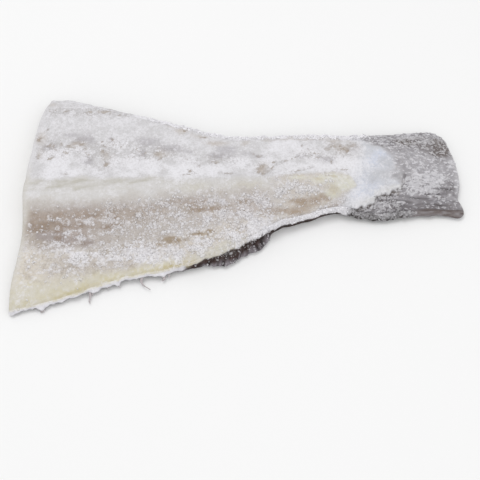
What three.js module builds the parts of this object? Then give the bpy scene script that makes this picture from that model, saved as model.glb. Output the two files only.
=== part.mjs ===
// Tail half of a split, salted and dried cod, lying skin side down with the flesh side up.
// Millimetres. +X runs from the sawn cut to the tail, +Y from the thin belly edge to the thick
// back edge, +Z up. The origin is under the middle of the fish, on the surface it lies on.
//
// The fish is one closed solid. A cross-section is worked out at each station along X, and
// the sections are joined into a skin and closed by the cut face and the end of the tail.

import * as THREE from "three";

// ---- driving dimensions ----

const fleshColour = 0xd6d2cd;

const cutInset = 1.6; // how far the rim of the cut face is worn back
const tailInset = 1.2; // the same for the end of the tail

// Edges in plan, as [x, y] points. The belly edge is the near one, the back edge the far one.
const bellyEdge = [
  [-190, -102], [-150, -91.5], [-100, -73.4], [-60, -65.4], [-35, -58], [-2, -44.4],
  [32, -24], [50, -18.5], [68, -12.5], [84, -9.4], [100, -13], [120, -14.5], [147, -10.8], [190, -9.4],
];
const backEdge = [
  [-190, 106], [-173, 104.5], [-154, 103.5], [-127, 96.5], [-55, 75.4], [-11, 63.8],
  [16, 64], [50, 65.2], [95, 65], [130, 68.4], [160, 73], [174, 71], [184, 61],
];

// Ends in plan, as [share of the way from belly edge to back edge, x].
const cutLine = [
  [0, -190], [0.1, -189.2], [0.22, -185.6], [0.42, -184.4], [0.55, -185.8], [0.7, -183],
  [0.88, -179.2], [0.97, -175], [1, -172.5],
];
const tailLine = [
  [0, 190], [0.08, 188], [0.18, 185.4], [0.4, 188.2], [0.62, 187.4], [0.85, 185.4], [1, 181.5],
];

// Height of the flesh at each edge and the swell of the fillets between them.
const bellyEdgeTop = [
  [-190, 6.5], [-125, 7.5], [-76, 9], [-50, 10.5], [-30, 13.5], [0, 15], [66, 14.5], [88, 12],
  [104, 9.6], [130, 9], [160, 8.6], [190, 8.2],
];
const backEdgeTop = [[-190, 15], [-127, 17], [-60, 17.5], [60, 17], [120, 15], [155, 10], [190, 6]];
const swell = [[-190, 9.5], [-120, 10], [-40, 8.5], [30, 7], [100, 9.5], [145, 9], [190, 2.2]];

// Underside at each edge, and the radii that round the two long edges.
const bellyEdgeUnder = [[-190, 1.2], [-100, 2.4], [-60, 3], [-25, 1.6], [60, 1.2], [110, 2.5], [190, 1.4]];
const backEdgeUnder = [[-190, 5], [-100, 6.5], [0, 7], [90, 6.5], [150, 3.2], [190, 1.2]];
const bellyRound = [[-190, 2], [-60, 2.6], [-10, 4], [70, 3.6], [105, 5.5], [190, 3]];
const backRound = [[-190, 4.4], [0, 5.2], [120, 6], [190, 3.2]];

// The raised band along the middle of the fish, and the bed that the backbone left beside it.
const ridgeLine = [[-190, -4], [-129, 0], [-97, 4], [-43, 7], [0, 10.5], [95, 12]];
const ridgeHeight = [[-190, 6], [-120, 5.4], [-40, 4], [40, 3.4], [80, 2.8], [104, 0]];
const ridgeWidth = [[-190, 15], [-100, 12.5], [0, 9.5], [100, 8.5]];
const bedLine = [[-190, -33], [-135, -31.5], [-100, -27], [-60, -21], [-15, -13], [20, -9], [75, -7]];
const bedDepth = [[-190, 4], [-120, 3.6], [-40, 3], [40, 2.6], [80, 0]];
const bedWidth = [[-190, 15], [-100, 15], [0, 11], [80, 7]];

// Crease on the far side of the ridge, and its length.
const creaseGap = 21; // from the ridge line
const creaseDepth = 1.2;
const creaseWidth = 4;
const creaseEnd = -40;

// Salt crust on the flesh: its edge crosses the tail, and bare skin lies lower beyond it.
const crustEdge = [[80, -14], [88, -10.5], [100, -4], [116, 0], [128, 7], [136, 18], [140, 34], [146, 60]];
const crustStep = 2.4;
const crustFade = 26; // beyond this far across, the crust thins out without a step

// Flap of skin that sticks out under the belly edge.
const flapReach = 9;
const flapMiddle = -9;
const flapLength = 22;

// Unevenness of the flesh and of the edges.
const lumpHeight = 0.6;
const swayHeight = 0.7;
const edgeWaver = 0.8;

// Mesh steps.
const stationCount = 74;
const topSteps = 35;
const underSteps = 16;
const sideSteps = 5;

// ---- helpers ----

// A smooth curve through [x, y] points, as a function of x.
function curveThrough(points) {
  const last = points.length - 1;
  const slope = (a, b) => (points[b][1] - points[a][1]) / (points[b][0] - points[a][0]);
  const tangent = (i) => slope(Math.max(i - 1, 0), Math.min(i + 1, last));
  return (x) => {
    const at = THREE.MathUtils.clamp(x, points[0][0], points[last][0]);
    let i = 0;
    while (i < last - 1 && at > points[i + 1][0]) i += 1;
    const span = points[i + 1][0] - points[i][0];
    const t = (at - points[i][0]) / span;
    const t2 = t * t;
    const t3 = t2 * t;
    return (
      (2 * t3 - 3 * t2 + 1) * points[i][1] +
      (t3 - 2 * t2 + t) * span * tangent(i) +
      (3 * t2 - 2 * t3) * points[i + 1][1] +
      (t3 - t2) * span * tangent(i + 1)
    );
  };
}

const smoothstep = THREE.MathUtils.smoothstep;
const lerp = THREE.MathUtils.lerp;

// A hump of height 1 at 0 that fades out over about twice the width.
function hump(distance, width) {
  return Math.exp(-((distance / width) ** 2));
}

// Gentle unevenness between about -1 and 1, from waves that run in different directions.
function unevenness(x, y, wavelength, start) {
  const waves = 8;
  const turn = 2.4;
  let sum = 0;
  for (let i = 0; i < waves; i += 1) {
    const angle = start + i * turn;
    const pace = ((2 * Math.PI) / wavelength) * (1 + 0.13 * i);
    sum += Math.sin(pace * (x * Math.cos(angle) + y * Math.sin(angle)) + 5 * start * (i + 1));
  }
  return (1.4 * sum) / waves;
}

const belly = curveThrough(bellyEdge);
const back = curveThrough(backEdge);
const cut = curveThrough(cutLine);
const tail = curveThrough(tailLine);
const bellyTop = curveThrough(bellyEdgeTop);
const backTop = curveThrough(backEdgeTop);
const filletSwell = curveThrough(swell);
const bellyUnder = curveThrough(bellyEdgeUnder);
const backUnder = curveThrough(backEdgeUnder);
const bellyRadius = curveThrough(bellyRound);
const backRadius = curveThrough(backRound);
const ridgeY = curveThrough(ridgeLine);
const ridgeRise = curveThrough(ridgeHeight);
const ridgeSpread = curveThrough(ridgeWidth);
const bedY = curveThrough(bedLine);
const bedDrop = curveThrough(bedDepth);
const bedSpread = curveThrough(bedWidth);
const crustY = curveThrough(crustEdge);

// ---- surfaces ----

// Flesh side at (x, y), where share is 0 at the belly edge and 1 at the back edge.
function topHeight(x, y, share) {
  const round = (4 * share * (1 - share)) ** 0.6;
  let z = lerp(bellyTop(x), backTop(x), share) + filletSwell(x) * round;
  z += ridgeRise(x) * hump(y - ridgeY(x), ridgeSpread(x));
  z -= bedDrop(x) * hump(y - bedY(x), bedSpread(x));
  const creaseFade = 1 - smoothstep(x, creaseEnd - 60, creaseEnd);
  z -= creaseDepth * creaseFade * hump(y - ridgeY(x) - creaseGap, creaseWidth);
  z -= crustStep * bareSkin(x, y);
  z += lumpHeight * unevenness(x, y, 27, 1.3) + swayHeight * unevenness(x, y, 70, 4.1);
  return z;
}

// 1 on the bare skin of the tail, 0 where the salt crust covers the flesh.
function bareSkin(x, y) {
  const from = crustEdge[0][0];
  const beyond = smoothstep(crustY(x) - y, -1.5, 1.5);
  const sharp = 1 - smoothstep(y, crustFade - 12, crustFade);
  return x < from ? 0 : beyond * lerp(0.35, 1, sharp) * smoothstep(x, from, from + 10);
}

// Skin side: flat in the middle, where the fish rests, and lifted towards both edges.
function underHeight(x, y, share) {
  const bellyLift = bellyUnder(x) * (1 - smoothstep(share, 0, 0.36));
  const backLift = backUnder(x) * smoothstep(share, 0.62, 1);
  const lumps = 0.35 * unevenness(x, y, 34, 2.2) * (bellyLift + backLift);
  return Math.max(0, bellyLift + backLift + lumps - 0.15);
}

// How far the skin flap sticks out under the belly edge, for a point that lies `down` of the
// way from the top of the edge (0) to its underside (1).
function flap(x, down) {
  return flapReach * hump(x - flapMiddle, flapLength) * smoothstep(down, 0.4, 0.8);
}

// ---- one cross-section, as a closed loop of points ----

function section(along, inset) {
  const loop = [];
  const xAt = (share) => lerp(cut(share), tail(share), along);

  const frame = (share) => {
    const x = xAt(share);
    const waver = edgeWaver * unevenness(x, share * 50, 24, 0.7);
    const low = belly(x) + inset + bellyRadius(x) - waver;
    const high = back(x) - inset - backRadius(x) + 0.5 * waver;
    return { x, y: lerp(low, high, share) };
  };

  // Flesh side, from the belly edge to the back edge, with finer steps at the edges.
  for (let j = 0; j <= topSteps; j += 1) {
    const t = j / topSteps;
    const share = lerp(t, 0.5 - 0.5 * Math.cos(Math.PI * t), 0.45);
    const { x, y } = frame(share);
    loop.push(new THREE.Vector3(x, y, topHeight(x, y, share) - inset));
  }

  // Round the back edge.
  addSide(loop, frame(1), 1, inset);

  // Skin side, from the back edge to the belly edge.
  for (let j = underSteps; j >= 0; j -= 1) {
    const share = j / underSteps;
    const { x, y } = frame(share);
    const out = flap(x, 1) * (1 - smoothstep(share, 0, 0.14));
    loop.push(new THREE.Vector3(x, y - out, underHeight(x, y, share) + inset));
  }

  // Round the belly edge.
  addSide(loop, frame(0), 0, inset);
  return loop;
}

// Points of a half ellipse round one long edge, between the two shoulders of the section.
function addSide(loop, shoulder, share, inset) {
  const { x, y } = shoulder;
  const top = topHeight(x, y, share) - inset;
  const under = underHeight(x, y, share) + inset;
  const outward = share === 1 ? backRadius(x) : -bellyRadius(x);
  for (let k = 1; k < sideSteps; k += 1) {
    const angle = Math.PI * (k / sideSteps);
    const down = share === 1 ? (1 - Math.cos(angle)) / 2 : (1 + Math.cos(angle)) / 2;
    const z = lerp(top, under, down);
    const lap = share === 1 ? 0 : flap(x, down);
    loop.push(new THREE.Vector3(x, y + outward * Math.sin(angle) - lap, z));
  }
}

// ---- the whole fish ----

function codGeometry() {
  const endSteps = [
    [0, cutInset],
    [0.003, 0.5],
    [0.009, 0],
  ];
  const tailSteps = [
    [0.991, 0],
    [0.997, 0.4],
    [1, tailInset],
  ];
  const middle = [];
  for (let i = 1; i < stationCount; i += 1) {
    middle.push([lerp(endSteps[2][0], tailSteps[0][0], i / stationCount), 0]);
  }
  const loops = [...endSteps, ...middle, ...tailSteps].map(([along, inset]) => section(along, inset));
  const around = loops[0].length;

  const positions = loops.flat().flatMap((p) => [p.x, p.y, p.z]);
  const index = [];
  for (let i = 0; i < loops.length - 1; i += 1) {
    for (let j = 0; j < around; j += 1) {
      const next = (j + 1) % around;
      const a = i * around + j;
      const b = i * around + next;
      index.push(a, a + around, b, b, a + around, b + around);
    }
  }
  closeEnd(loops[0], 0, index, false);
  closeEnd(loops[loops.length - 1], (loops.length - 1) * around, index, true);

  const geometry = new THREE.BufferGeometry();
  geometry.setAttribute("position", new THREE.Float32BufferAttribute(positions, 3));
  geometry.setIndex(index);
  geometry.computeVertexNormals();

  geometry.computeBoundingBox();
  const { min, max } = geometry.boundingBox;
  geometry.translate(-(min.x + max.x) / 2, -(min.y + max.y) / 2, -min.z);
  return geometry;
}

// Fill one end loop with triangles between its flesh side and the rest of it, from the belly
// edge to the back edge. They face -X on the cut and +X on the tail.
function closeEnd(loop, first, index, facesTail) {
  let upper = 0;
  let lower = loop.length - 1;
  while (upper < topSteps || lower > topSteps + 1) {
    const upperIsNext = lower === topSteps + 1 || (upper < topSteps && loop[upper + 1].y < loop[lower - 1].y);
    const corner = upperIsNext ? upper + 1 : lower - 1;
    const triangle = facesTail ? [upper, lower, corner] : [upper, corner, lower];
    index.push(...triangle.map((point) => first + point));
    if (upperIsNext) upper += 1;
    else lower -= 1;
  }
}

const cod = new THREE.Mesh(
  codGeometry(),
  new THREE.MeshStandardMaterial({ color: fleshColour, roughness: 0.75, metalness: 0 }),
);
cod.name = "salt_cod";

const group = new THREE.Group();
group.add(cod);

export default group;
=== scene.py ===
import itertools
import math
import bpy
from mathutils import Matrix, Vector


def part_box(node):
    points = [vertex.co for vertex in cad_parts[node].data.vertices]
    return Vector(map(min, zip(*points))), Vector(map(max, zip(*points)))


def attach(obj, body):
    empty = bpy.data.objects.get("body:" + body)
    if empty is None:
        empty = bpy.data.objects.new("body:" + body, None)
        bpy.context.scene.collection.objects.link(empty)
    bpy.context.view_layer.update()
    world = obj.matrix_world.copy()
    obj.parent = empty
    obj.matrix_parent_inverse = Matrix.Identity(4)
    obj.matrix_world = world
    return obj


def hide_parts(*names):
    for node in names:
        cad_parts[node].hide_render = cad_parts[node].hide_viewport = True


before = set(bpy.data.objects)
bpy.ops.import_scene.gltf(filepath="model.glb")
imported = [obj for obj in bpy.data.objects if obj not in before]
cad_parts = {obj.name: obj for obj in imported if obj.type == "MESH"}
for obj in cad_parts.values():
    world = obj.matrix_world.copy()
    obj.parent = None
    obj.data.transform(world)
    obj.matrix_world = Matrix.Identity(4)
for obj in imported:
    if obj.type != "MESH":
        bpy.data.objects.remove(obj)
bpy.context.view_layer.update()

# The looks of the salted dried cod. Shapes are worked out in millimetres, in the plan that the
# fish is drawn in, and every mesh is moved to the CAD solid's place and scaled to metres as it
# is made. +X runs from the cut to the tail, and +Y from the belly edge to the back edge.

from types import SimpleNamespace

import bpy
import numpy as np
from mathutils import Quaternion, Vector
from mathutils.geometry import delaunay_2d_cdt

MM = 0.001
NODE = "salt_cod"
BODY = "root"


# ---------------- curves and noise

def curve(points):
    """A smooth curve through (x, y) points, as a function of x."""
    xs, ys = np.array(points, float).T
    before = np.maximum(np.arange(len(xs)) - 1, 0)
    after = np.minimum(np.arange(len(xs)) + 1, len(xs) - 1)
    slopes = (ys[after] - ys[before]) / (xs[after] - xs[before])

    def at(x):
        x = np.clip(x, xs[0], xs[-1])
        i = np.clip(np.searchsorted(xs, x) - 1, 0, len(xs) - 2)
        span = xs[i + 1] - xs[i]
        t = (x - xs[i]) / span
        rise = (3 - 2 * t) * t * t
        bend = (t - 1) ** 2 * t * slopes[i] + (t - 1) * t * t * slopes[i + 1]
        return ys[i] + (ys[i + 1] - ys[i]) * rise + span * bend

    return at


def lerp(a, b, t):
    return a + (b - a) * t


def unit(value):
    return np.clip(value, 0, 1)


def step(x, low, high):
    """0 below low, 1 above high, and smooth between."""
    t = unit((x - low) / (high - low))
    return t * t * (3 - 2 * t)


def fall(x, low, high):
    """1 below low, 0 above high, and smooth between."""
    return 1 - step(x, low, high)


def band(x, low, high, soft):
    """1 between low and high, fading out over soft on both sides."""
    return step(x, low - soft, low + soft) * fall(x, high - soft, high + soft)


def hump(distance, width):
    return np.exp(-((distance / width) ** 2))


def unevenness(x, y, wavelength, start):
    """The slow waves of the CAD solid's surface, between about -1 and 1."""
    waves = 8
    total = 0
    for i in range(waves):
        angle = start + i * 2.4
        pace = 2 * math.pi / wavelength * (1 + 0.13 * i)
        along = x * math.cos(angle) + y * math.sin(angle)
        total += np.sin(pace * along + 5 * start * (i + 1))
    return 1.4 * total / waves


RANDOM_TABLE = np.random.default_rng(11).uniform(-1, 1, 4096)
HASH_PRIMES = (73856093, 19349663, 83492791)
SEED_SHIFT = 31.7


def noise(points, size, seed=0):
    """Smooth random values from -1 to 1 that change over about size millimetres."""
    scaled = points / size + SEED_SHIFT * seed
    cell = np.floor(scaled).astype(np.int64)
    part = scaled - cell
    part = part * part * (3 - 2 * part)
    total = np.zeros(points.shape[:-1])
    for corner in itertools.product((0, 1), repeat=3):
        key = np.zeros(points.shape[:-1], np.int64)
        weight = np.ones(points.shape[:-1])
        for axis in range(3):
            key ^= (cell[..., axis] + corner[axis]) * HASH_PRIMES[axis]
            weight *= part[..., axis] if corner[axis] else 1 - part[..., axis]
        total += weight * RANDOM_TABLE[key & (len(RANDOM_TABLE) - 1)]
    return total


def fractal(points, size, octaves=3, seed=0):
    """Noise with ever finer noise on it, between about -1 and 1."""
    shares = [1 / 2 ** i for i in range(octaves)]
    layers = [share * noise(points, size * share, seed + i) for i, share in enumerate(shares)]
    return 1.5 * sum(layers) / sum(shares)


def flat_noise(x, y, size, seed):
    return noise(flat_points(x, y), size, seed)


def flat_points(x, y):
    return np.stack([x, y, np.zeros_like(x)], -1)


# ---------------- the form, as in the CAD source

belly = curve([
    (-190, -102), (-150, -91.5), (-100, -73.4), (-60, -65.4), (-35, -58), (-2, -44.4), (32, -24),
    (50, -18.5), (68, -12.5), (84, -9.4), (100, -13), (120, -14.5), (147, -10.8), (190, -9.4),
])
back = curve([
    (-190, 106), (-173, 104.5), (-154, 103.5), (-127, 96.5), (-55, 75.4), (-11, 63.8), (16, 64),
    (50, 65.2), (95, 65), (130, 68.4), (160, 73), (174, 71), (184, 61),
])
cut_line = curve([
    (0, -190), (0.1, -189.2), (0.22, -185.6), (0.42, -184.4), (0.55, -185.8), (0.7, -183),
    (0.88, -179.2), (0.97, -175), (1, -172.5),
])
tail_line = curve([
    (0, 190), (0.08, 188), (0.18, 185.4), (0.4, 188.2), (0.62, 187.4), (0.85, 185.4), (1, 181.5),
])
belly_top = curve([
    (-190, 6.5), (-125, 7.5), (-76, 9), (-50, 10.5), (-30, 13.5), (0, 15), (66, 14.5), (88, 12),
    (104, 9.6), (130, 9), (160, 8.6), (190, 8.2),
])
back_top = curve([(-190, 15), (-127, 17), (-60, 17.5), (60, 17), (120, 15), (155, 10), (190, 6)])
fillet_swell = curve([(-190, 9.5), (-120, 10), (-40, 8.5), (30, 7), (100, 9.5), (145, 9), (190, 2.2)])
belly_under = curve([(-190, 1.2), (-100, 2.4), (-60, 3), (-25, 1.6), (60, 1.2), (110, 2.5), (190, 1.4)])
back_under = curve([(-190, 5), (-100, 6.5), (0, 7), (90, 6.5), (150, 3.2), (190, 1.2)])
belly_round = curve([(-190, 2), (-60, 2.6), (-10, 4), (70, 3.6), (105, 5.5), (190, 3)])
back_round = curve([(-190, 4.4), (0, 5.2), (120, 6), (190, 3.2)])
ridge_y = curve([(-190, -4), (-129, 0), (-97, 4), (-43, 7), (0, 10.5), (95, 12)])
ridge_rise = curve([(-190, 6), (-120, 5.4), (-40, 4), (40, 3.4), (80, 2.8), (104, 0)])
ridge_spread = curve([(-190, 15), (-100, 12.5), (0, 9.5), (100, 8.5)])
bed_y = curve([(-190, -33), (-135, -31.5), (-100, -27), (-60, -21), (-15, -13), (20, -9), (75, -7)])
bed_drop = curve([(-190, 4), (-120, 3.6), (-40, 3), (40, 2.6), (80, 0)])
bed_spread = curve([(-190, 15), (-100, 15), (0, 11), (80, 7)])
crust_y = curve([
    (80, -14), (88, -10.5), (100, -4), (116, 0), (128, 7), (136, 18), (140, 34), (146, 60),
])

CRUST_START = 80
CREASE_GAP = 21
CREASE_END = -40

# Finer lines that only the looks need: the far side of the backbone's bed, the edges of the
# ridge's pale band, how far the fat reaches in from the belly edge, the edges of the bare flesh
# where the fillet ends, as x over y where the snowy salt beyond the flesh begins and where the
# tail's grey begins, and the crust's ragged edge on the tail.
bed_low = curve([
    (-190, -47), (-142, -47), (-109, -43), (-76, -42), (-43, -36), (-10, -23), (23, -15), (70, -13),
])
band_low = curve([(-190, -12), (-131, -11), (-96, -7), (-43, -2.5), (-2, 1), (42, 1), (70, 0), (98, 4)])
band_high = curve([(-190, 17), (-129, 17), (-63, 15), (-19, 14.5), (36, 17), (76, 21.7), (98, 19)])
fat_reach = curve([
    (-190, 30), (-160, 23), (-130, 15), (-100, 11), (-60, 9), (-10, 7), (20, 5), (40, 3), (60, 0),
])
flesh_high = curve([(16, 15), (50, 19), (70, 20.5), (83, 21.5), (92, 18), (99, 10)])
flesh_low = curve([(16, -34), (40, -19), (50, -15.5), (60, -12), (70, -7), (80, -1), (90, 4), (99, 9)])
snow_from = curve([(-14, 82), (5, 91), (20, 94), (30, 98), (40, 102), (54, 102), (62, 97), (72, 92)])
grey_from = curve([
    (8, 134), (14, 137), (20, 134), (28, 131), (36, 130), (42, 128), (47, 124), (51, 117), (55, 109),
    (60, 104), (66, 101), (72, 98),
])
CRUST_LINE = [
    (80, -14), (87, -8.5), (89, -6), (99, -6.5), (104, -5), (107, -4), (112, -2.5), (113, 2.5),
    (119, 4.5), (124, 4), (128, 6.5), (135, 8), (137, 14), (141, 34), (146, 60),
]


def crust_line(x, y):
    """How far below the salt crust's ragged edge on the tail a point lies, in millimetres."""
    edge = np.interp(x, *zip(*CRUST_LINE))
    return edge - y + 1.0 * flat_noise(x, y, 5, 40) + 1.5 * flat_noise(x, y, 2.2, 41)


def bare_skin(x, y):
    """1 on the tail's bare skin, 0 where the crust covers the flesh."""
    beyond = step(crust_line(x, y), -0.4, 0.4)
    soft = 0.35 * step(crust_y(x) - y, -9, 14)
    return lerp(soft, beyond, fall(y, 14, 26)) * step(x, CRUST_START, CRUST_START + 6)


def top_height(x, y, share):
    """Height of the flesh side."""
    swell = np.maximum(4 * share * (1 - share), 0) ** 0.6
    z = lerp(belly_top(x), back_top(x), share) + fillet_swell(x) * swell
    z += ridge_rise(x) * hump(y - ridge_y(x), ridge_spread(x))
    z -= bed_drop(x) * hump(y - bed_y(x), bed_spread(x))
    z -= 1.2 * fall(x, CREASE_END - 60, CREASE_END) * hump(y - ridge_y(x) - CREASE_GAP, 4)
    z -= 2.4 * bare_skin(x, y)
    return z + 0.6 * unevenness(x, y, 27, 1.3) + 0.7 * unevenness(x, y, 70, 4.1)


def under_height(x, y, share):
    """Height of the skin side, flat in the middle."""
    lift = belly_under(x) * fall(share, 0, 0.36) + back_under(x) * step(share, 0.62, 1)
    return np.maximum(0, lift + 0.35 * unevenness(x, y, 34, 2.2) * lift - 0.15)


def wall_out(x, down):
    """How far the wall under the belly edge stands out: the flap of skin, and the hollow over it."""
    flap = hump(x + 9, 22)
    hollow = band(x, -48, 82, 12) * band(down, 0.35, 0.85, 0.15) * (1 - 0.6 * flap)
    return 9 * flap * step(down, 0.4, 0.8) - 1.6 * hollow


# ---------------- the grid of cross-sections

STATIONS = 385
TOP_STEPS = 180
UNDER_STEPS = 34
SIDE_STEPS = 14
# Cross-sections next to the two ends, as (share of the length, how far they are drawn in).
CUT_INSETS = [(0, 1.3), (0.0012, 0.7), (0.003, 0.3), (0.0055, 0.05)]
TAIL_INSETS = [(0.9945, 0.1), (0.997, 0.35), (0.9988, 0.7), (1, 1.1)]
END_RELIEF = np.array([0.1, 0.35, 0.6, 0.85])[:, None]


def ring():
    """For each point of a cross-section's loop: its share of the way from the belly edge to the
    back edge, how far down it is from the flesh side to the skin side, and how far it bulges
    past the shoulder, towards the back edge."""
    t = np.linspace(0, 1, TOP_STEPS + 1)
    top = lerp(t, 0.5 - 0.5 * np.cos(math.pi * t), 0.3)
    under = np.linspace(1, 0, UNDER_STEPS + 1)
    angle = math.pi * np.arange(1, SIDE_STEPS) / SIDE_STEPS
    fall_down = (1 - np.cos(angle)) / 2
    side = np.ones_like(angle)
    share = np.concatenate([top, side, under, 0 * side])
    down = np.concatenate([0 * top, fall_down, 1 + 0 * under, fall_down[::-1]])
    bulge = np.concatenate([0 * top, np.sin(angle), 0 * under, -np.sin(angle)[::-1]])
    return share, down, bulge


def grid():
    """The smooth fish: arrays of stations by loop points, of the points and what is known of them."""
    steps = np.linspace(CUT_INSETS[-1][0], TAIL_INSETS[0][0], STATIONS + 1)[1:-1]
    rows = np.array(CUT_INSETS + [(s, 0) for s in steps] + TAIL_INSETS)
    along, inset = rows[:, :1], rows[:, 1:]
    share, down, bulge = ring()
    x = lerp(cut_line(share), tail_line(share), along)
    waver = 0.8 * unevenness(x, share * 50, 24, 0.7)
    low = belly(x) + inset + belly_round(x) - waver
    high = back(x) - inset - back_round(x) + 0.5 * waver
    y = lerp(low, high, share)
    radius = np.where(bulge > 0, back_round(x), belly_round(x))
    near = np.where(bulge < 0, 1, fall(share, 0, 0.14) * down)
    outward = y + bulge * radius - wall_out(x, down) * near
    z = lerp(top_height(x, y, share) - inset, under_height(x, y, share) + inset, down)
    share, down, bulge = (np.broadcast_to(fact, x.shape) for fact in (share, down, bulge))
    points = np.stack([x, outward, z], -1)
    return SimpleNamespace(points=points, x=x, y=y, share=share, down=down, bulge=bulge)


def grid_normals(points):
    """Outward normals of a grid whose second direction closes on itself."""
    along = np.gradient(points, axis=0)
    around = np.roll(points, -1, 1) - np.roll(points, 1, 1)
    normal = np.cross(along, around)
    return normal / np.maximum(np.linalg.norm(normal, axis=-1, keepdims=True), 1e-9)


# ---------------- what lies where on the fish

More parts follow.
